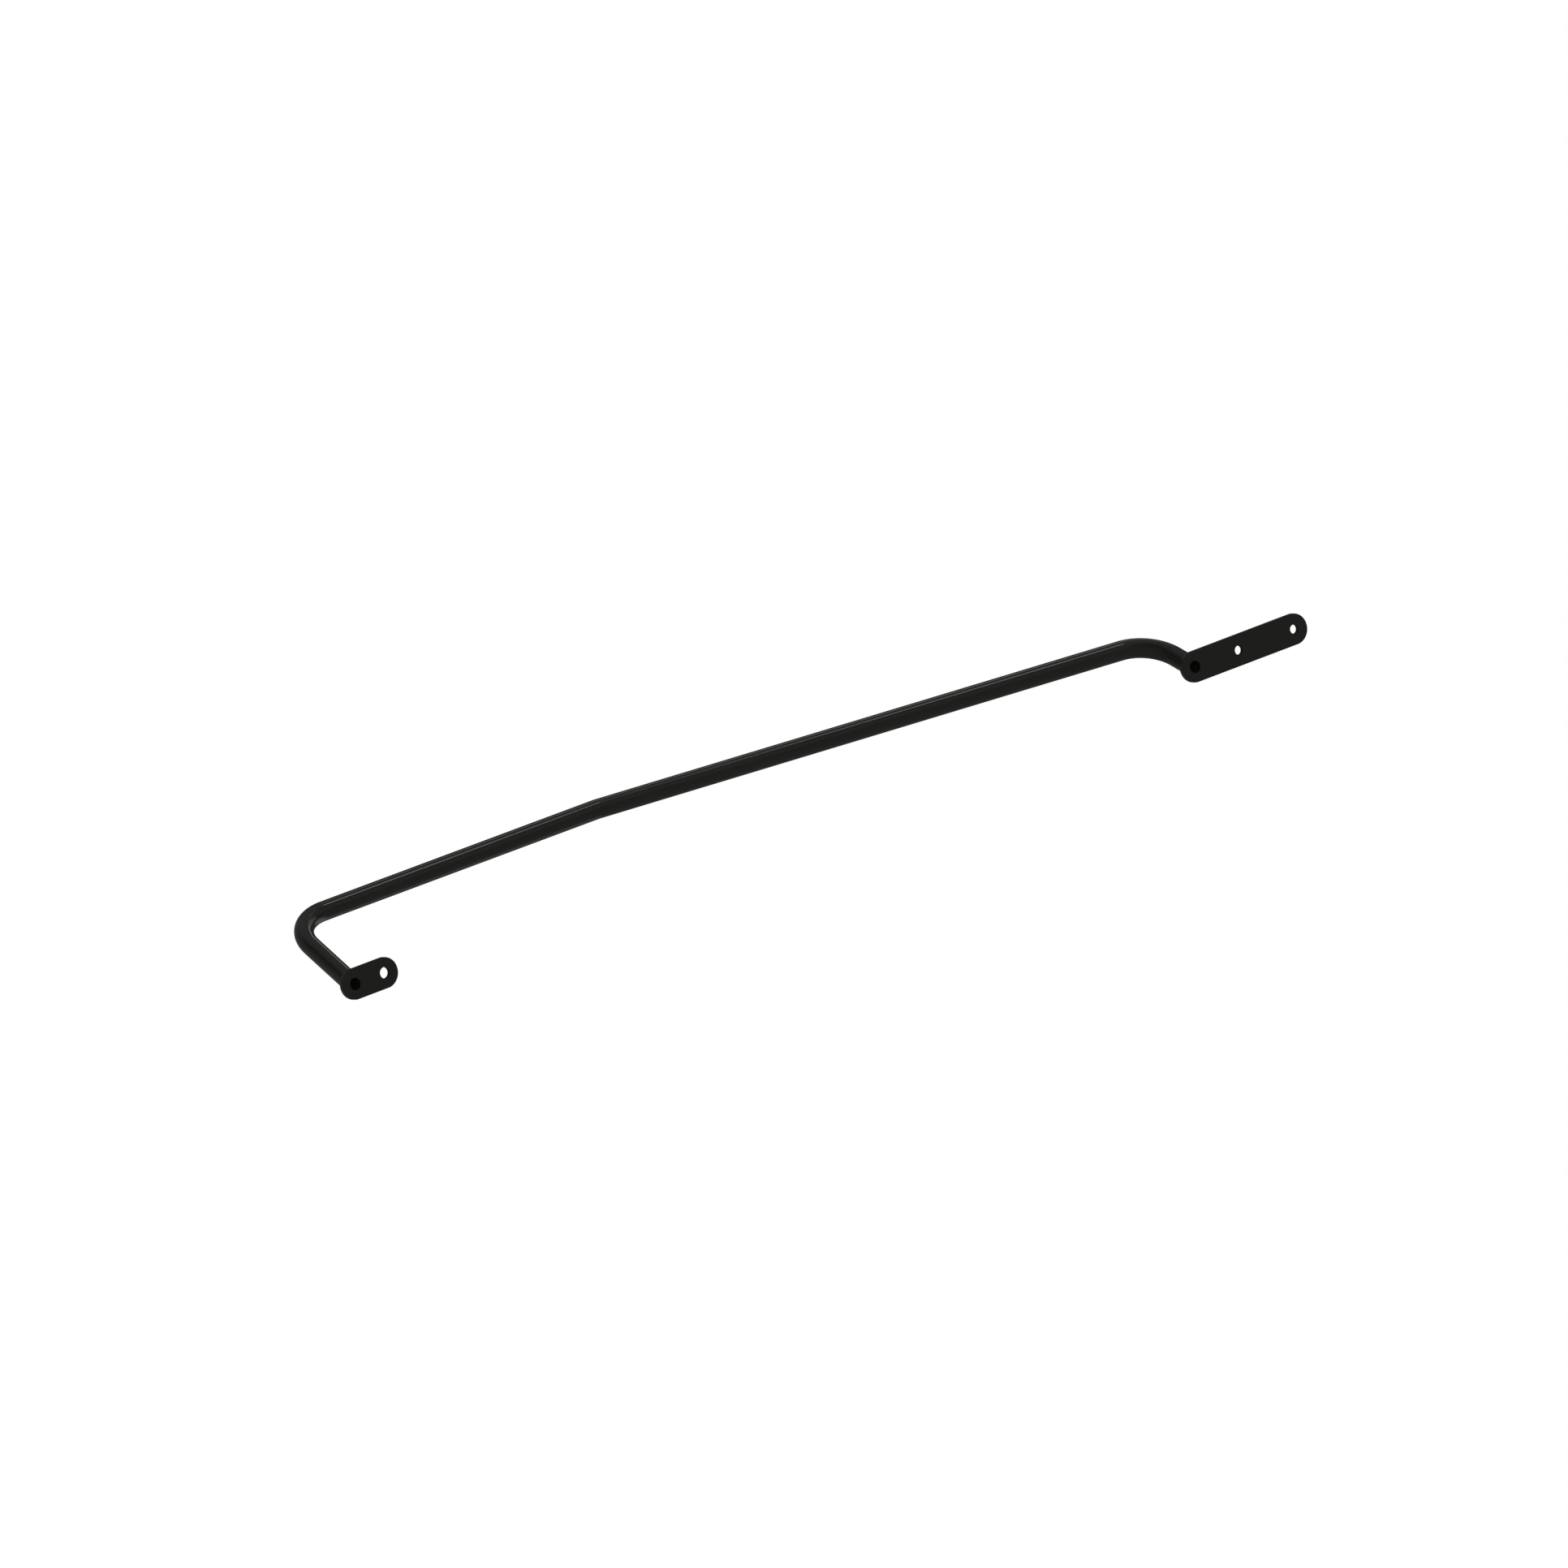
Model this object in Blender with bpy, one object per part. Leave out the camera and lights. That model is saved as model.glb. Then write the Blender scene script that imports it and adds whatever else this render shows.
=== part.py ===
"""Sway bar: a round steel tube bent in one plane, with a flat drilled plate welded across each end.

+X runs along both end plates, -Y is the way their mounting faces look, and +Z is up. The origin is
on the long plate's mounting face, midway between its two bolt holes. All lengths are in metres.
"""
import math

import bmesh
import bpy
from mathutils import Vector

INCH = 0.0254
GAP = 0.0003  # left between pieces that touch

# The tube. Its bends all lie in one plane, tilted about X from the normal of the end plates.
TUBE_DIAMETER = 0.875 * INCH
BORE_DIAMETER = 0.5625 * INCH
BEND_RADIUS = 2.0 * INCH  # to the centreline
PLANE_TILT = math.radians(30)

# Corners of the centreline before the bends round them off, in inches in the plane of the bends:
# along X, and away from the plates. The first and last are where the tube meets its plates.
CORNERS = (
    (0.0, 0.0),
    (0.31, 5.19),
    (16.97, 5.05),
    (45.06, 2.40),
    (45.50, -0.13),
)

# The plates are straight bars with full-round ends. Hole places are measured along the plate from
# the hole that opens into the tube, which is concentric with one round end.
PLATE_WIDTH = 1.375 * INCH
PLATE_THICKNESS = 0.2 * INCH
TUBE_HOLE_DIAMETER = 0.531 * INCH
SHORT_PLATE_BOLTS = (1.61 * INCH,)
SHORT_PLATE_BOLT_HOLE = 0.5 * INCH
LONG_PLATE_BOLTS = (2.375 * INCH, 5.375 * INCH)
LONG_PLATE_BOLT_HOLE = 0.40625 * INCH

# The fillet welds run all round the tube where it meets a plate.
WELD_LEG = 0.12 * INCH
WELD_FULLNESS = 1.5  # 1 is a full quarter round, 2 is a flat face

# Facets
TUBE_SIDES = 24
BEND_STEP = math.radians(5)
PLATE_END_SIDES = 24
HOLE_SIDES = 32
WELD_SIDES = 36
WELD_FACE_STEPS = 4

PLANE_NORMAL = Vector((0.0, 0.0, 1.0))
# The plates' rear faces look this way, as seen in the tilted plane of the bends
REAR_NORMAL = Vector((0.0, math.cos(PLANE_TILT), -math.sin(PLANE_TILT)))


def clear_scene():
    for scene_object in list(bpy.data.objects):
        bpy.data.objects.remove(scene_object, do_unlink=True)


def black_coat(name, roughness):
    """Black powder coat over steel."""
    material = bpy.data.materials.new(name)
    material.use_nodes = True
    shader = material.node_tree.nodes["Principled BSDF"]
    shader.inputs["Base Color"].default_value = (0.013, 0.013, 0.012, 1.0)
    shader.inputs["Roughness"].default_value = roughness
    shader.inputs["Metallic"].default_value = 0.0
    return material


def add_part(name, mesh_builder, material, parent):
    """Turns a finished bmesh into a named object and frees it."""
    bmesh.ops.recalc_face_normals(mesh_builder, faces=mesh_builder.faces)
    mesh = bpy.data.meshes.new(name)
    mesh_builder.to_mesh(mesh)
    mesh_builder.free()
    mesh.shade_smooth()
    mesh.set_sharp_from_angle(angle=math.radians(35))
    mesh.materials.append(material)
    part = bpy.data.objects.new(name, mesh)
    part.parent = parent
    bpy.context.collection.objects.link(part)
    return part


# --- centreline ---------------------------------------------------------------------------------

def corner_points():
    return [Vector((along * INCH, away * INCH, 0.0)) for along, away in CORNERS]


def leg_directions():
    corners = corner_points()
    return [(end - start).normalized() for start, end in zip(corners, corners[1:])]


def bend_stations(corner, before, after):
    """Point and direction at each ring of one bend, the arc that touches both legs of a corner."""
    turn = before.angle(after)
    towards_centre = (after - before * before.dot(after)).normalized()
    start = corner - before * BEND_RADIUS * math.tan(turn / 2)
    centre = start + towards_centre * BEND_RADIUS
    steps = math.ceil(turn / BEND_STEP)
    stations = []
    for step in range(steps + 1):
        angle = turn * step / steps
        along = before * math.cos(angle) + towards_centre * math.sin(angle)
        out = before * math.sin(angle) - towards_centre * math.cos(angle)
        stations.append((centre + out * BEND_RADIUS, along))
    return stations


def all_bend_stations():
    corners = corner_points()
    legs = leg_directions()
    stations = []
    for corner, before, after in zip(corners[1:-1], legs, legs[1:]):
        stations += bend_stations(corner, before, after)
    return stations


# --- tube ---------------------------------------------------------------------------------------

def spoke(direction, angle):
    """Unit vector square to the tube's direction, turned by an angle about it."""
    sideways = direction.cross(PLANE_NORMAL)
    return sideways * math.cos(angle) + PLANE_NORMAL * math.sin(angle)


def square_ring(centre, direction, radius):
    """Points of a circle round the tube's centreline."""
    turn = 2 * math.pi / TUBE_SIDES
    return [centre + spoke(direction, turn * side) * radius for side in range(TUBE_SIDES)]


def point_over_plate(foot, direction, radius, angle, height):
    """Point on a cylinder round a leg of the tube, at a height over its plate's rear face."""
    out = spoke(direction, angle) * radius
    slide = (height - out.dot(REAR_NORMAL)) / direction.dot(REAR_NORMAL)
    return foot + out + direction * slide


def mitred_ring(foot, direction, radius):
    """Where a cylinder round a leg is cut off, parallel to the plate that it is welded to."""
    turn = 2 * math.pi / TUBE_SIDES
    return [
        point_over_plate(foot, direction, radius, turn * side, GAP) for side in range(TUBE_SIDES)
    ]


def add_ring(builder, points):
    return [builder.verts.new(point) for point in points]


def bridge(builder, ring_a, ring_b):
    """Quads between two closed rings with the same number of points."""
    count = len(ring_a)
    for index in range(count):
        after = (index + 1) % count
        builder.faces.new((ring_a[index], ring_a[after], ring_b[after], ring_b[index]))


def tube_wall(builder, radius):
    """One skin of the tube, from mitre to mitre. Returns its two end rings."""
    corners = corner_points()
    legs = leg_directions()
    rings = [add_ring(builder, mitred_ring(corners[0], legs[0], radius))]
    for centre, direction in all_bend_stations():
        rings.append(add_ring(builder, square_ring(centre, direction, radius)))
    rings.append(add_ring(builder, mitred_ring(corners[-1], legs[-1], radius)))
    for ring, following in zip(rings, rings[1:]):
        bridge(builder, ring, following)
    return rings[0], rings[-1]


def tube_mesh():
    builder = bmesh.new()
    outer_ends = tube_wall(builder, TUBE_DIAMETER / 2)
    bore_ends = tube_wall(builder, BORE_DIAMETER / 2)
    for outer_ring, bore_ring in zip(outer_ends, bore_ends):
        bridge(builder, outer_ring, bore_ring)
    return builder


# --- end plates ---------------------------------------------------------------------------------

def arc_points(centre_x, radius, start, turn, steps):
    """Points of an arc in the XZ plane, with its centre on the X axis."""
    points = []
    for step in range(steps + 1):
        angle = start + turn * step / steps
        points.append(Vector((centre_x + radius * math.cos(angle), 0.0, radius * math.sin(angle))))
    return points


def plate_outline(last_hole):
    """Bar with full-round ends, concentric with the tube hole at zero and with the last bolt hole."""
    radius = PLATE_WIDTH / 2
    far_end = arc_points(last_hole, radius, -math.pi / 2, math.pi, PLATE_END_SIDES)
    tube_end = arc_points(0.0, radius, math.pi / 2, math.pi, PLATE_END_SIDES)
    return far_end + tube_end


def hole_outline(centre_x, diameter):
    return arc_points(centre_x, diameter / 2, 0.0, 2 * math.pi, HOLE_SIDES)[:-1]


def add_loop(builder, points):
    verts = add_ring(builder, points)
    for vert, following in zip(verts, verts[1:] + verts[:1]):
        builder.edges.new((vert, following))


def plate_mesh(bolt_places, bolt_hole):
    """Plate with its mounting face at Y = 0 and the centre of its tube hole at the origin."""
    builder = bmesh.new()
    add_loop(builder, plate_outline(bolt_places[-1]))
    add_loop(builder, hole_outline(0.0, TUBE_HOLE_DIAMETER))
    for place in bolt_places:
        add_loop(builder, hole_outline(place, bolt_hole))
    bmesh.ops.triangle_fill(builder, use_beauty=True, edges=builder.edges, normal=(0.0, -1.0, 0.0))
    extruded = bmesh.ops.extrude_face_region(builder, geom=builder.faces[:])
    rear_verts = [item for item in extruded["geom"] if isinstance(item, bmesh.types.BMVert)]
    bmesh.ops.translate(builder, verts=rear_verts, vec=(0.0, PLATE_THICKNESS, 0.0))
    return builder


# --- welds --------------------------------------------------------------------------------------

def weld_section():
    """Fillet section as (radius, height over the plate) pairs, from its root round its face."""
    root_radius = TUBE_DIAMETER / 2 + GAP
    section = [(root_radius, GAP)]
    for step in range(WELD_FACE_STEPS + 1):
        angle = math.pi / 2 * step / WELD_FACE_STEPS
        out = WELD_LEG * max(math.cos(angle), 0.0) ** WELD_FULLNESS
        up = WELD_LEG * math.sin(angle) ** WELD_FULLNESS
        section.append((root_radius + out, GAP + up))
    return section


def weld_mesh(foot, direction):
    """Closed bead round the tube, filling the corner between it and the plate's rear face."""
    builder = bmesh.new()
    turn = 2 * math.pi / WELD_SIDES
    sections = []
    for side in range(WELD_SIDES):
        points = [
            point_over_plate(foot, direction, radius, turn * side, height)
            for radius, height in weld_section()
        ]
        sections.append(add_ring(builder, points))
    for section, following in zip(sections, sections[1:] + sections[:1]):
        bridge(builder, section, following)
    return builder


# --- assembly -----------------------------------------------------------------------------------

def long_plate_place():
    """Centre of the long plate's tube hole on its mounting face."""
    return Vector((-sum(LONG_PLATE_BOLTS) / 2, 0.0, 0.0))


def bend_frame_place():
    """Where the tube's centreline meets the short plate's rear face."""
    run = corner_points()[-1]
    from_short_to_long = Vector(
        (run.x, run.y * math.cos(PLANE_TILT), run.y * math.sin(PLANE_TILT))
    )
    return long_plate_place() + Vector((0.0, PLATE_THICKNESS, 0.0)) - from_short_to_long


def place_in_bend_plane(part):
    part.location = bend_frame_place()
    part.rotation_euler = (PLANE_TILT, 0.0, 0.0)


def build():
    clear_scene()
    root = bpy.data.objects.new("sway_bar", None)
    bpy.context.collection.objects.link(root)

    tube = add_part("bar_tube", tube_mesh(), black_coat("tube_coat", 0.36), root)
    place_in_bend_plane(tube)

    short_plate = add_part(
        "short_end_plate",
        plate_mesh(SHORT_PLATE_BOLTS, SHORT_PLATE_BOLT_HOLE),
        black_coat("short_plate_coat", 0.42),
        root,
    )
    short_plate.location = bend_frame_place() - Vector((0.0, PLATE_THICKNESS, 0.0))

    long_plate = add_part(
        "long_end_plate",
        plate_mesh(LONG_PLATE_BOLTS, LONG_PLATE_BOLT_HOLE),
        black_coat("long_plate_coat", 0.42),
        root,
    )
    long_plate.location = long_plate_place()

    corners = corner_points()
    legs = leg_directions()
    short_weld = add_part(
        "short_plate_weld",
        weld_mesh(corners[0], legs[0]),
        black_coat("short_weld_coat", 0.45),
        root,
    )
    place_in_bend_plane(short_weld)
    long_weld = add_part(
        "long_plate_weld",
        weld_mesh(corners[-1], legs[-1]),
        black_coat("long_weld_coat", 0.45),
        root,
    )
    place_in_bend_plane(long_weld)


build()
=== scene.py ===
"""Looks of the sway bar: fine meshes of the bent tube, its two end plates and their weld beads,
semi-gloss black powder coat, and the studio round them.

Lengths are in metres, in the frame of the CAD.
"""
import math

import bmesh
import bpy
from mathutils import Matrix, Vector, noise


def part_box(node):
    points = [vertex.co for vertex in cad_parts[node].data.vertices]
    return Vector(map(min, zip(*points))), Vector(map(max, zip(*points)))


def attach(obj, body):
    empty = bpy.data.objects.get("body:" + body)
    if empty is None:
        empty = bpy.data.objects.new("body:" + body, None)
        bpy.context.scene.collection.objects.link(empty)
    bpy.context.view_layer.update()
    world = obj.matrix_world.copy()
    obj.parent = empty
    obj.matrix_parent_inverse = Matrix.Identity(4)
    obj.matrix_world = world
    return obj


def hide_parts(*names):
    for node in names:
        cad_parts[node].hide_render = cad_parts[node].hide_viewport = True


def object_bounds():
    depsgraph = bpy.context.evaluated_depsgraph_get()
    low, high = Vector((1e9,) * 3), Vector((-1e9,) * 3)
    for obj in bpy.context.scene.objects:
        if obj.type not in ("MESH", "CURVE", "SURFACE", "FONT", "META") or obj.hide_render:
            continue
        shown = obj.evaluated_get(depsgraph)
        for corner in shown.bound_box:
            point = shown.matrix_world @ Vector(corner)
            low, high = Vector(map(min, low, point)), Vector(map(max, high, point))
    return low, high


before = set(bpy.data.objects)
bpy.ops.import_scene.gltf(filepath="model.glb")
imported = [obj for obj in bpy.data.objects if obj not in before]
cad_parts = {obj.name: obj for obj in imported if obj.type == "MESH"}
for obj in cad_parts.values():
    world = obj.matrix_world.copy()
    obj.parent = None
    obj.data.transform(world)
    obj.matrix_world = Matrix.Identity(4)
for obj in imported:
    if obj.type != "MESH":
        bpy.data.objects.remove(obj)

CAD_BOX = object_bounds()
BAR_MIDDLE = (CAD_BOX[0] + CAD_BOX[1]) / 2
BODY = "root"
INCH = 0.0254

# --- sizes --------------------------------------------------------------------------------------

# Plates. Their places, width and thickness come from the frame.
SHORT_LOW, SHORT_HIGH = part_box("short_end_plate")
LONG_LOW, LONG_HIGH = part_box("long_end_plate")
PLATE_RADIUS = (LONG_HIGH.z - LONG_LOW.z) / 2
PLATE_THICKNESS = LONG_HIGH.y - LONG_LOW.y
TUBE_HOLE_DIAMETER = 0.531 * INCH
SHORT_BOLT_HOLE = 0.5 * INCH
LONG_BOLT_HOLE = 0.40625 * INCH
LONG_BOLT_PITCH = 3.0 * INCH
EDGE_ROUND = 0.00045
HOLE_ROUND = 0.0003

# Tube
TUBE_RADIUS = 0.875 * INCH / 2
BORE_RADIUS = 0.5625 * INCH / 2
BEND_RADIUS = 2.0 * INCH
PLANE_TILT = math.radians(30)
# Corners of the centreline before the bends round them off, in inches in the plane of the bends:
# along X, and away from the plates
CORNERS = (
    (0.0, 0.0),
    (0.31, 5.19),
    (16.97, 5.05),
    (45.06, 2.40),
    (45.50, -0.13),
)

# Welds
WELD_LEG = 0.12 * INCH
WELD_FULLNESS = 1.5
WELD_RIPPLES = 31
WELD_RIPPLE_HEIGHT = 0.00022
WELD_WANDER = 0.00018
# In lengths of one ripple: how far its ends at the toes are off from its middle, how unevenly it
# is placed, and its steep side. The powers shape its long side and how it fades out at the toes.
RIPPLE_BOW = 0.9
RIPPLE_UNEVENNESS = 0.35
RIPPLE_STEEP_SIDE = 0.12
RIPPLE_POWER = 1.6
RIPPLE_FADE_POWER = 0.5

# Mesh fineness
TUBE_SIDES = 112
BEND_STEP = math.radians(1.5)
STRAIGHT_STEP = 0.02
ARC_STEPS = 72
ROUND_STEPS = 4
WELD_SIDES = 496
WELD_FACE_STEPS = 14
SHARP_EDGE = math.radians(40)
FLAT_FACE_WEIGHT = 100

# --- the plane of the bends ---------------------------------------------------------------------

AWAY = Vector((0.0, math.cos(PLANE_TILT), math.sin(PLANE_TILT)))
PLANE_NORMAL = Vector((0.0, -math.sin(PLANE_TILT), math.cos(PLANE_TILT)))
ALONG = Vector((1.0, 0.0, 0.0))
REAR_NORMAL = Vector((0.0, 1.0, 0.0))


def plate_middle(low, high):
    """Centre of a plate's tube-end round on its mounting face."""
    return Vector((low.x + PLATE_RADIUS, low.y, (low.z + high.z) / 2))


SHORT_TUBE_HOLE = plate_middle(SHORT_LOW, SHORT_HIGH)
LONG_TUBE_HOLE = plate_middle(LONG_LOW, LONG_HIGH)


def corner_points():
    start = SHORT_TUBE_HOLE + REAR_NORMAL * PLATE_THICKNESS
    return [start + ALONG * (x * INCH) + AWAY * (y * INCH) for x, y in CORNERS]


def leg_directions():
    corners = corner_points()
    return [(end - start).normalized() for start, end in zip(corners, corners[1:])]


def bend_stations(corner, before, after):
    """Point and direction at each ring of one bend, the arc that touches both legs of a corner."""
    turn = before.angle(after)
    towards_centre = (after - before * before.dot(after)).normalized()
    start = corner - before * BEND_RADIUS * math.tan(turn / 2)
    centre = start + towards_centre * BEND_RADIUS
    steps = math.ceil(turn / BEND_STEP)
    stations = []
    for step in range(steps + 1):
        angle = turn * step / steps
        along = before * math.cos(angle) + towards_centre * math.sin(angle)
        out = before * math.sin(angle) - towards_centre * math.cos(angle)
        stations.append((centre + out * BEND_RADIUS, along))
    return stations


def straight_stations(start, end):
    """Stations strictly between two points of a straight leg."""
    run = end - start
    steps = math.ceil(run.length / STRAIGHT_STEP)
    return [(start + run * step / steps, run.normalized()) for step in range(1, steps)]


def ring_stations():
    """Stations of every square ring, between the two mitred ends."""
    corners = corner_points()
    legs = leg_directions()
    stations = []
    for corner, before, after in zip(corners[1:-1], legs, legs[1:]):
        bend = bend_stations(corner, before, after)
        if stations:
            stations += straight_stations(stations[-1][0], bend[0][0])
        stations += bend
    return stations


# --- mesh helpers -------------------------------------------------------------------------------

# Places in a piece's list of materials, which starts with its main coat
COAT = 0
BORE_WALL = 1
PLATE_EDGE = 1
HOLE_WALL = 2


def add_ring(builder, points):
    return [builder.verts.new(point) for point in points]


def bridge(builder, ring_a, ring_b, material_index=COAT):
    """Quads between two closed rings with the same number of points."""
    count = len(ring_a)
    for index in range(count):
        after = (index + 1) % count
        face = builder.faces.new((ring_a[index], ring_a[after], ring_b[after], ring_b[index]))
        face.material_index = material_index


def finish_piece(name, builder, materials, node):
    """Makes the piece that stands for a CAD node."""
    bmesh.ops.recalc_face_normals(builder, faces=builder.faces)
    mesh = bpy.data.meshes.new(name)
    builder.to_mesh(mesh)
    builder.free()
    mesh.shade_smooth()
    for material in materials:
        mesh.materials.append(material)
    piece = bpy.data.objects.new(name, mesh)
    bpy.context.scene.collection.objects.link(piece)
    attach(piece, BODY)
    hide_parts(node)
    return piece


# --- tube ---------------------------------------------------------------------------------------

def spoke(direction, angle):
    """Unit vector square to the tube's direction, turned by an angle about it."""
    sideways = direction.cross(PLANE_NORMAL)
    return sideways * math.cos(angle) + PLANE_NORMAL * math.sin(angle)


def circle(centre, direction, radius):
    turn = 2 * math.pi / TUBE_SIDES
    return [centre + spoke(direction, turn * side) * radius for side in range(TUBE_SIDES)]


def point_over_plate(foot, direction, radius, angle, height):
    """Point on a cylinder round a leg of the tube, at a height over its plate's rear face."""
    out = spoke(direction, angle) * radius
    slide = (height - out.dot(REAR_NORMAL)) / direction.dot(REAR_NORMAL)
    return foot + out + direction * slide


def mitred_circle(foot, direction, radius):
    turn = 2 * math.pi / TUBE_SIDES
    return [point_over_plate(foot, direction, radius, turn * s, 0.0) for s in range(TUBE_SIDES)]


def tube_wall(builder, radius, material_index):
    corners = corner_points()
    legs = leg_directions()
    rings = [add_ring(builder, mitred_circle(corners[0], legs[0], radius))]
    for centre, direction in ring_stations():
        rings.append(add_ring(builder, circle(centre, direction, radius)))
    rings.append(add_ring(builder, mitred_circle(corners[-1], legs[-1], radius)))
    for ring, following in zip(rings, rings[1:]):
        bridge(builder, ring, following, material_index)
    return rings[0], rings[-1]


def make_tube(coat, bore_skin):
    builder = bmesh.new()
    outer_ends = tube_wall(builder, TUBE_RADIUS, COAT)
    bore_ends = tube_wall(builder, BORE_RADIUS, BORE_WALL)
    for outer_ring, bore_ring in zip(outer_ends, bore_ends):
        bridge(builder, outer_ring, bore_ring)
    piece = finish_piece("tube_shell", builder, (coat, bore_skin), "bar_tube")
    piece.data.set_sharp_from_angle(angle=SHARP_EDGE)
    return piece


# --- plates -------------------------------------------------------------------------------------

def arc_points(centre, radius, start, turn, depth, closed=False):
    """Points of an arc in a plane parallel to the mounting face, at a depth behind it."""
    points = []
    last = ARC_STEPS if closed else ARC_STEPS + 1
    for step in range(last):
        angle = start + turn * step / ARC_STEPS
        offset = Vector((radius * math.cos(angle), depth, radius * math.sin(angle)))
        points.append(centre + offset)
    return points


def plate_outline(near, far, inset, depth):
    radius = PLATE_RADIUS - inset
    far_end = arc_points(far, radius, -math.pi / 2, math.pi, depth)
    near_end = arc_points(near, radius, math.pi / 2, math.pi, depth)
    return far_end + near_end


def hole_outline(centre, diameter, inset, depth):
    """A hole's outline. The inset widens it, where its mouth is rounded."""
    return arc_points(centre, diameter / 2 + inset, 0.0, 2 * math.pi, depth, closed=True)


def edge_section(round_radius):
    """(inset, depth) pairs across a plate's edge, rounded at both of its corners."""
    front = []
    for step in range(ROUND_STEPS + 1):
        angle = math.pi / 2 * step / ROUND_STEPS
        inset = round_radius * (1 - math.sin(angle))
        depth = round_radius * (1 - math.cos(angle))
        front.append((inset, depth))
    rear = [(inset, PLATE_THICKNESS - depth) for inset, depth in reversed(front)]
    return front + rear


def fill_face(builder, loops):
    """Flat face inside the first loop and outside the others."""
    edges = []
    for loop in loops:
        for vert, following in zip(loop, loop[1:] + loop[:1]):
            edges.append(builder.edges.get((vert, following)))
    bmesh.ops.triangle_fill(builder, use_beauty=True, edges=edges, normal=(0.0, -1.0, 0.0))


def make_plate(name, node, near, far, bolt_holes, materials):
    """A plate from its tube hole to its last bolt hole. bolt_holes are (centre, diameter) pairs.

    The materials are those of its faces, its outer edge and the walls of its holes.
    """
    builder = bmesh.new()
    front_loops = []
    rear_loops = []

    def wall(outline, round_radius, material_index):
        section = edge_section(round_radius)
        rings = [add_ring(builder, outline(inset, depth)) for inset, depth in section]
        for ring, following in zip(rings, rings[1:]):
            bridge(builder, ring, following, material_index)
        front_loops.append(rings[0])
        rear_loops.append(rings[-1])

    wall(lambda inset, depth: plate_outline(near, far, inset, depth), EDGE_ROUND, PLATE_EDGE)
    for centre, diameter in [(near, TUBE_HOLE_DIAMETER)] + bolt_holes:
        wall(lambda inset, depth: hole_outline(centre, diameter, inset, depth),
             HOLE_ROUND, HOLE_WALL)
    fill_face(builder, front_loops)
    fill_face(builder, rear_loops)
    piece = finish_piece(name, builder, materials, node)
    weighted = piece.modifiers.new("flat_faces", "WEIGHTED_NORMAL")
    weighted.weight = FLAT_FACE_WEIGHT
    weighted.keep_sharp = True
    return piece


# --- welds --------------------------------------------------------------------------------------

def closed_noise(turn_share, radius, height):
    """Smooth noise that comes back to its start after a full turn of the tube."""
    angle = 2 * math.pi * turn_share
    return noise.noise(Vector((math.cos(angle) * radius, math.sin(angle) * radius, height)))


def ripple(turn_share, across):
    """Height of the bead's frozen ripples. They bow back at the toes, like stacked coins."""
    bow = RIPPLE_BOW * (2 * across - 1) ** 2
    uneven = RIPPLE_UNEVENNESS * closed_noise(turn_share, radius=3, height=0.5)
    phase = (turn_share * WELD_RIPPLES + bow + uneven) % 1.0
    crest = (1 - phase) ** RIPPLE_POWER * min(phase / RIPPLE_STEEP_SIDE, 1.0)
    fade = math.sin(math.pi * across) ** RIPPLE_FADE_POWER
    return WELD_RIPPLE_HEIGHT * crest * fade


def make_weld(name, node, foot, direction, coat):
    """A rippled fillet bead all round the tube, in the corner between it and its plate."""
    builder = bmesh.new()
    sections = []
    for side in range(WELD_SIDES):
        share = side / WELD_SIDES
        angle = 2 * math.pi * share
        points = [(TUBE_RADIUS, 0.0)]
        wander = WELD_WANDER * closed_noise(share, radius=2, height=7.0)
        for step in range(WELD_FACE_STEPS + 1):
            across = step / WELD_FACE_STEPS
            face_angle = math.pi / 2 * across
            reach = WELD_LEG + wander + ripple(share, across)
            out = reach * max(math.cos(face_angle), 0.0) ** WELD_FULLNESS
            up = reach * math.sin(face_angle) ** WELD_FULLNESS
            points.append((TUBE_RADIUS + out, up))
        placed = [point_over_plate(foot, direction, r, angle, h) for r, h in points]
        sections.append(add_ring(builder, placed))
    for section, following in zip(sections, sections[1:] + sections[:1]):
        bridge(builder, section, following)
    return finish_piece(name, builder, (coat,), node)


# --- materials ----------------------------------------------------------------------------------

# Places of a Mix node's colour sockets, which share their names with its other sockets
MIX_FACTOR, MIX_COLOUR_A, MIX_COLOUR_B = 0, 6, 7
MIX_COLOUR = 2

TUBE_BLACK = (0.0315, 0.0315, 0.0290)
PLATE_BLACK = (0.0315, 0.0315, 0.0275)
# Base of the plate holes' walls, darker than the coat: painted shade inside the holes
HOLE_WALL_PAINTED_SHADE = 0.024
BORE_BLACK = 0.042

# Nearly all values of a noise texture lie in its spread, and most of them in its middle
NOISE_SPREAD = (0.25, 0.75)
NOISE_MIDDLE = (0.3, 0.7)

# Powder coat. Noise scales are in features per metre, and sheens are multiples of the roughness.
TONE_CHANGE = 0.07
PATCH_SCALE = 38.0
PATCH_SHEEN = (0.9, 1.15)
SPECKLE_SCALE = 2600.0
SPECKLE_SHEEN = (0.85, 1.15)
SPECKLE_DEPTH = 0.00001
SPECKLE_STRENGTH = 0.02
PEEL_SCALE = 640.0
PEEL_DEPTH = 0.0002
# Cut marks under the coat on the plates' edges run along Y, through the plate
CUT_SCALE = 2200.0
CUT_STRETCH = (1.0, 0.02, 1.0)
CUT_DEPTH = 0.0002

# Bare skin in the bore and the holes
SKIN_SCALE = 220.0
SKIN_TINT = (1.4, 1.3, 1.2)
SKIN_ROUGHNESS = (0.45, 0.65)
SKIN_SPECULAR = 0.2
SKIN_DEPTH = 0.0002
SKIN_STRENGTH = 0.4


def new_material(name):
    material = bpy.data.materials.new(name)
    material.use_nodes = True
    return material, material.node_tree.nodes, material.node_tree.links


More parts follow.
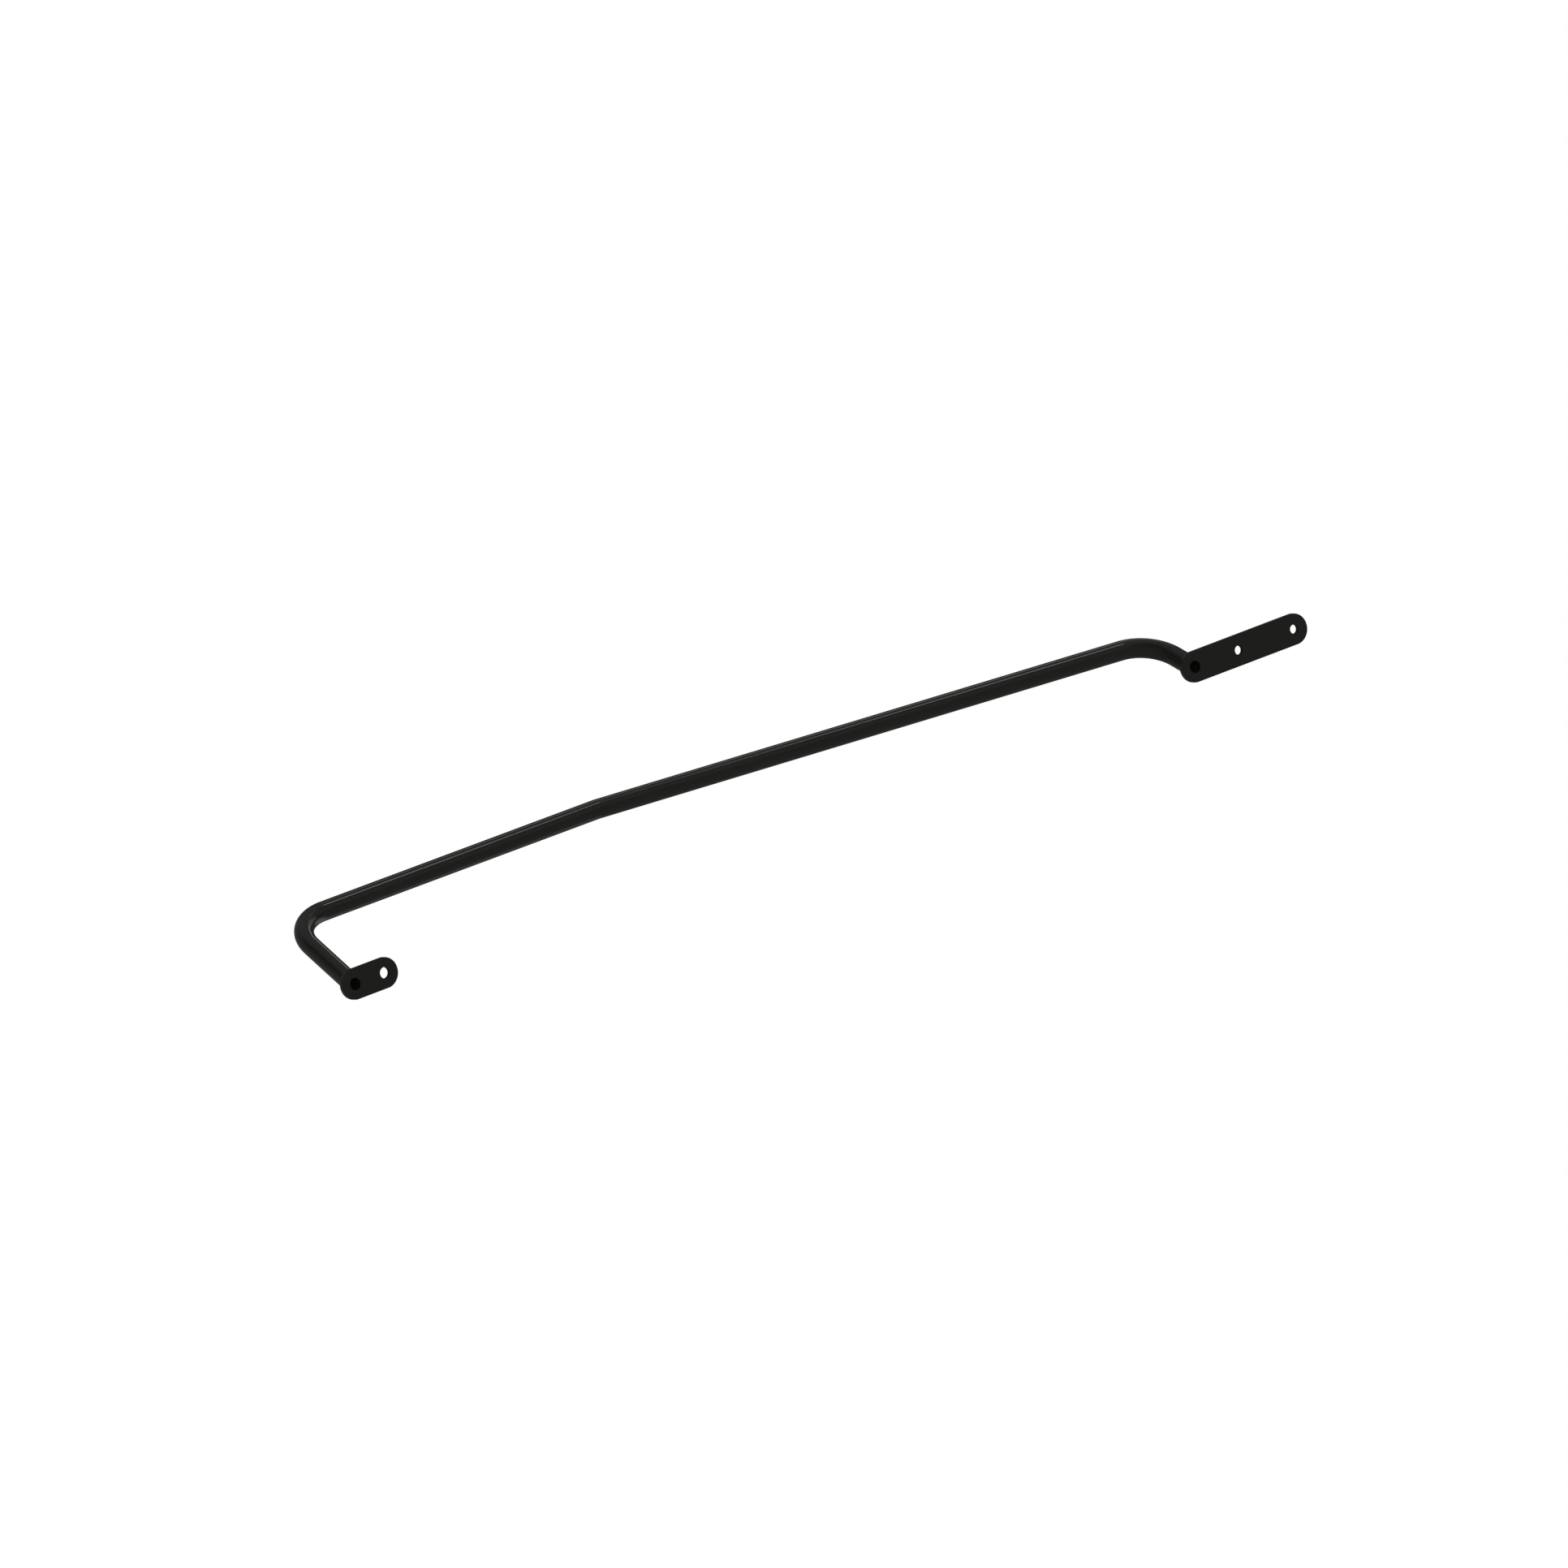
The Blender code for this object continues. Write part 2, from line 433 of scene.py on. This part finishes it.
def noise_node(nodes, links, coordinates, scale, detail=2.0, roughness=0.5):
    texture = nodes.new("ShaderNodeTexNoise")
    texture.inputs["Scale"].default_value = scale
    texture.inputs["Detail"].default_value = detail
    texture.inputs["Roughness"].default_value = roughness
    links.new(coordinates, texture.inputs["Vector"])
    return texture.outputs["Fac"]


def map_range(nodes, links, value, low, high, to_low, to_high, smooth=False):
    mapping = nodes.new("ShaderNodeMapRange")
    if smooth:
        mapping.interpolation_type = "SMOOTHSTEP"
    for socket, number in (("From Min", low), ("From Max", high),
                           ("To Min", to_low), ("To Max", to_high)):
        mapping.inputs[socket].default_value = number
    links.new(value, mapping.inputs["Value"])
    return mapping.outputs["Result"]


def mix_colour(nodes, links, factor, colour_a, colour_b):
    mix = nodes.new("ShaderNodeMix")
    mix.data_type = "RGBA"
    mix.inputs[MIX_COLOUR_A].default_value = (*colour_a, 1.0)
    mix.inputs[MIX_COLOUR_B].default_value = (*colour_b, 1.0)
    links.new(factor, mix.inputs[MIX_FACTOR])
    return mix.outputs[MIX_COLOUR]


def combine(nodes, links, operation, first, second):
    """Sum or product of two values."""
    node = nodes.new("ShaderNodeMath")
    node.operation = operation
    links.new(first, node.inputs[0])
    links.new(second, node.inputs[1])
    return node.outputs[0]


def bump(nodes, links, height, distance, strength, normal=None):
    node = nodes.new("ShaderNodeBump")
    node.inputs["Strength"].default_value = strength
    node.inputs["Distance"].default_value = distance
    links.new(height, node.inputs["Height"])
    if normal is not None:
        links.new(normal, node.inputs["Normal"])
    return node.outputs["Normal"]


def powder_coat(name, base, roughness, orange_peel, grain=0.0):
    """Black powder coat: orange peel, fine speckle and slow changes in tone and sheen.

    orange_peel and grain are the strengths of the peel and of the cut marks under the coat.
    """
    material, nodes, links = new_material(name)
    shader = nodes["Principled BSDF"]
    place = nodes.new("ShaderNodeTexCoord").outputs["Object"]
    patches = noise_node(nodes, links, place, PATCH_SCALE, detail=3.0)
    speckle = noise_node(nodes, links, place, SPECKLE_SCALE)
    peel = noise_node(nodes, links, place, PEEL_SCALE, roughness=0.4)

    tone = map_range(nodes, links, patches, *NOISE_MIDDLE, 0.0, 1.0)
    darker = [channel * (1 - TONE_CHANGE) for channel in base]
    lighter = [channel * (1 + TONE_CHANGE) for channel in base]
    links.new(mix_colour(nodes, links, tone, darker, lighter), shader.inputs["Base Color"])

    slow_sheen = map_range(nodes, links, patches, *NOISE_SPREAD, *PATCH_SHEEN)
    speckle_low, speckle_high = SPECKLE_SHEEN
    fine_sheen = map_range(nodes, links, speckle, *NOISE_MIDDLE,
                           roughness * speckle_low, roughness * speckle_high)
    sheen = combine(nodes, links, "MULTIPLY", slow_sheen, fine_sheen)
    links.new(sheen, shader.inputs["Roughness"])

    surface = bump(nodes, links, peel, PEEL_DEPTH, orange_peel)
    surface = bump(nodes, links, speckle, SPECKLE_DEPTH, SPECKLE_STRENGTH, surface)
    if grain:
        stretch = nodes.new("ShaderNodeMapping")
        stretch.inputs["Scale"].default_value = CUT_STRETCH
        links.new(place, stretch.inputs["Vector"])
        cut = noise_node(nodes, links, stretch.outputs["Vector"], CUT_SCALE)
        surface = bump(nodes, links, cut, CUT_DEPTH, grain, surface)
    links.new(surface, shader.inputs["Normal"])
    return material


def bare_skin(name, base):
    """Inside of a bore or hole: dull dark skin with thin overspray; the plate holes' darker base
    is painted shade.
    """
    material, nodes, links = new_material(name)
    shader = nodes["Principled BSDF"]
    place = nodes.new("ShaderNodeTexCoord").outputs["Object"]
    patches = noise_node(nodes, links, place, SKIN_SCALE, detail=4.0)
    tone = map_range(nodes, links, patches, *NOISE_MIDDLE, 0.0, 1.0)
    browner = [base * share for share in SKIN_TINT]
    links.new(mix_colour(nodes, links, tone, (base, base, base), browner),
              shader.inputs["Base Color"])
    sheen = map_range(nodes, links, patches, *NOISE_MIDDLE, *SKIN_ROUGHNESS)
    links.new(sheen, shader.inputs["Roughness"])
    shader.inputs["Specular IOR Level"].default_value = SKIN_SPECULAR
    surface = bump(nodes, links, patches, SKIN_DEPTH, SKIN_STRENGTH)
    links.new(surface, shader.inputs["Normal"])
    return material


# --- studio -------------------------------------------------------------------------------------

VIEW_AZIMUTH = math.radians(-31.417)
VIEW_ELEVATION = math.radians(9.812)
VIEW_ROLL = math.radians(-14.877)
VIEW_WIDTH = 1.7341
VIEW_DISTANCE = 3.0
VIEW_REACH = 200.0
# The picture's middle, from the bar's middle, right and up in the picture
VIEW_SHIFT = (-0.0024, -0.0037)
# The tent is brightest towards this azimuth and elevation, and dimmest on the other side
TENT_BRIGHT_SIDE = (-119.0, -44.0)
TENT_DIM = 0.034
TENT_BRIGHT = 0.208
TENT_TINT = (1.0, 1.0, 0.94, 1.0)
WHITE = (1.0, 1.0, 1.0, 1.0)
# Azimuth from +X to +Y, elevation, the angles of full light and of none, and radiance
SOFTBOXES = (
    (28.6, 32.9, 0.7, 5.0, 0.88),      # rear, small
    (21.6, 27.1, 5.7, 9.3, 0.68),      # screen beside it
    (6.2, 18.8, 1.0, 16.5, 0.53),      # right wall
    (-8.4, 8.6, 1.2, 13.3, 0.44),      # right wall, low
    (0.9, 39.5, 4.4, 16.8, 0.17),      # right wall, high
    (5.9, -36.5, 2.0, 30.3, 0.51),     # bounce off the table
    (53.5, 76.3, 9.3, 47.6, 0.226),    # overhead
    (106.2, 10.7, 19.8, 54.9, 0.146),  # left wall
    (-40.7, 39.6, 22.6, 40.7, 0.148),  # front
)
# Name, azimuth, elevation, distance, length, width, turn about its own axis and radiance
LAMPS = (
    ("key_lamp", -21.9, 58.0, 21.7, 3.47, 0.76, -25.9, 2.6),
    ("rear_lamp", 40.2, 41.2, 8.6, 2.11, 2.57, -111.2, 0.73),
)
FLOOR_DROP = 1.1
FLOOR_SIZE = 60.0


def sky_direction(azimuth, elevation):
    """Unit vector towards an azimuth, counted from +X to +Y, and an elevation, in degrees."""
    azimuth, elevation = math.radians(azimuth), math.radians(elevation)
    return Vector((math.cos(azimuth) * math.cos(elevation),
                   math.sin(azimuth) * math.cos(elevation),
                   math.sin(elevation)))


def make_camera():
    level_right = Vector((math.cos(VIEW_AZIMUTH), math.sin(VIEW_AZIMUTH), 0.0))
    back = Vector((math.sin(VIEW_AZIMUTH) * math.cos(VIEW_ELEVATION),
                   -math.cos(VIEW_AZIMUTH) * math.cos(VIEW_ELEVATION),
                   math.sin(VIEW_ELEVATION)))
    level_up = back.cross(level_right)
    right = level_right * math.cos(VIEW_ROLL) + level_up * math.sin(VIEW_ROLL)
    up = back.cross(right)
    target = BAR_MIDDLE + right * VIEW_SHIFT[0] + up * VIEW_SHIFT[1]
    data = bpy.data.cameras.new("camera")
    data.type = "ORTHO"
    data.ortho_scale = VIEW_WIDTH
    data.clip_end = VIEW_REACH
    camera = bpy.data.objects.new("camera", data)
    bpy.context.scene.collection.objects.link(camera)
    turn = Matrix((right, up, back)).transposed()
    camera.matrix_world = Matrix.Translation(target + back * VIEW_DISTANCE) @ turn.to_4x4()
    bpy.context.scene.camera = camera


def cosine_from(nodes, links, direction, azimuth, elevation):
    """Cosine of the angle from a fixed direction in the sky."""
    facing = nodes.new("ShaderNodeVectorMath")
    facing.operation = "DOT_PRODUCT"
    facing.inputs[1].default_value = sky_direction(azimuth, elevation)
    links.new(direction, facing.inputs[0])
    return facing.outputs["Value"]


def soft_patch(nodes, links, direction, azimuth, elevation, full, edge, radiance):
    """Light from round one direction: all of it inside the first angle, none past the second."""
    facing = cosine_from(nodes, links, direction, azimuth, elevation)
    return map_range(nodes, links, facing, math.cos(math.radians(edge)),
                     math.cos(math.radians(full)), 0.0, radiance, smooth=True)


def background(nodes, colour):
    node = nodes.new("ShaderNodeBackground")
    node.inputs["Color"].default_value = colour
    return node


def make_world():
    """A dim light tent with softboxes in it, which the camera itself sees as plain white."""
    world = bpy.data.worlds.new("studio")
    bpy.context.scene.world = world
    world.use_nodes = True
    nodes, links = world.node_tree.nodes, world.node_tree.links
    direction = nodes.new("ShaderNodeTexCoord").outputs["Generated"]

    patches = [soft_patch(nodes, links, direction, *softbox) for softbox in SOFTBOXES]
    total = patches[0]
    for patch in patches[1:]:
        total = combine(nodes, links, "ADD", total, patch)
    boxes = background(nodes, WHITE)
    links.new(total, boxes.inputs["Strength"])

    tent = nodes["Background"]
    tent.inputs["Color"].default_value = TENT_TINT
    facing = cosine_from(nodes, links, direction, *TENT_BRIGHT_SIDE)
    glow = map_range(nodes, links, facing, -1.0, 1.0, TENT_DIM, TENT_BRIGHT, smooth=True)
    links.new(glow, tent.inputs["Strength"])

    both = nodes.new("ShaderNodeAddShader")
    links.new(tent.outputs[0], both.inputs[0])
    links.new(boxes.outputs[0], both.inputs[1])
    white = background(nodes, WHITE)
    choice = nodes.new("ShaderNodeMixShader")
    links.new(nodes.new("ShaderNodeLightPath").outputs["Is Camera Ray"], choice.inputs[0])
    links.new(both.outputs[0], choice.inputs[1])
    links.new(white.outputs[0], choice.inputs[2])
    links.new(choice.outputs[0], nodes["World Output"].inputs["Surface"])


def make_lamp(name, azimuth, elevation, distance, length, width, turn, radiance):
    """An oval lamp that faces the bar's middle, turned about the line to it."""
    towards = sky_direction(azimuth, elevation)
    level = towards.cross(Vector((0.0, 0.0, 1.0))).normalized()
    upright = level.cross(towards)
    data = bpy.data.lights.new(name, "AREA")
    data.shape = "ELLIPSE"
    data.size = length
    data.size_y = width
    area = math.pi * length * width / 4
    data.energy = radiance * math.pi * area
    lamp = bpy.data.objects.new(name, data)
    bpy.context.scene.collection.objects.link(lamp)
    facing_bar = Matrix((level, upright, towards)).transposed().to_4x4()
    own_turn = Matrix.Rotation(math.radians(turn), 4, "Z")
    place = Matrix.Translation(BAR_MIDDLE + towards * distance)
    lamp.matrix_world = place @ facing_bar @ own_turn
    lamp.visible_camera = False


def make_floor():
    """Plain white floor, well below the bar, that neither lights it nor shows in its coat."""
    builder = bmesh.new()
    bmesh.ops.create_grid(builder, x_segments=1, y_segments=1, size=FLOOR_SIZE / 2)
    mesh = bpy.data.meshes.new("floor")
    builder.to_mesh(mesh)
    builder.free()
    material, nodes, links = new_material("floor_paper")
    glowing = nodes.new("ShaderNodeEmission")
    links.new(glowing.outputs[0], nodes["Material Output"].inputs["Surface"])
    mesh.materials.append(material)
    floor = bpy.data.objects.new("floor", mesh)
    bpy.context.scene.collection.objects.link(floor)
    floor.location = (BAR_MIDDLE.x, BAR_MIDDLE.y, CAD_BOX[0].z - FLOOR_DROP)
    floor.visible_diffuse = False
    floor.visible_glossy = False


# --- everything ---------------------------------------------------------------------------------

def make_bar():
    plate_coat = powder_coat("plate_powder_coat", PLATE_BLACK, roughness=0.16, orange_peel=0.05)
    edge_coat = powder_coat("plate_edge_powder_coat", PLATE_BLACK, roughness=0.34,
                            orange_peel=0.10, grain=0.25)
    # The plate holes' walls are darker and duller than the coat: painted shade inside the holes
    plate_materials = (plate_coat, edge_coat, bare_skin("hole_wall_painted_shade_skin", HOLE_WALL_PAINTED_SHADE))
    tube_coat = powder_coat("tube_powder_coat", TUBE_BLACK, roughness=0.07, orange_peel=0.004)
    make_tube(tube_coat, bare_skin("bore_skin", BORE_BLACK))

    short_bolt = Vector((SHORT_HIGH.x - PLATE_RADIUS, SHORT_TUBE_HOLE.y, SHORT_TUBE_HOLE.z))
    make_plate("short_plate_shell", "short_end_plate", SHORT_TUBE_HOLE, short_bolt,
               [(short_bolt, SHORT_BOLT_HOLE)], plate_materials)

    outer_bolt = Vector((LONG_HIGH.x - PLATE_RADIUS, LONG_TUBE_HOLE.y, LONG_TUBE_HOLE.z))
    inner_bolt = outer_bolt - ALONG * LONG_BOLT_PITCH
    make_plate("long_plate_shell", "long_end_plate", LONG_TUBE_HOLE, outer_bolt,
               [(inner_bolt, LONG_BOLT_HOLE), (outer_bolt, LONG_BOLT_HOLE)], plate_materials)

    corners = corner_points()
    legs = leg_directions()
    weld_coat = powder_coat("weld_powder_coat", TUBE_BLACK, roughness=0.16, orange_peel=0.06)
    make_weld("short_weld_bead", "short_plate_weld", corners[0], legs[0], weld_coat)
    make_weld("long_weld_bead", "long_plate_weld", corners[-1], legs[-1], weld_coat)


make_camera()
make_bar()
make_floor()
make_world()
for lamp in LAMPS:
    make_lamp(*lamp)
bpy.context.scene.view_settings.view_transform = "Standard"
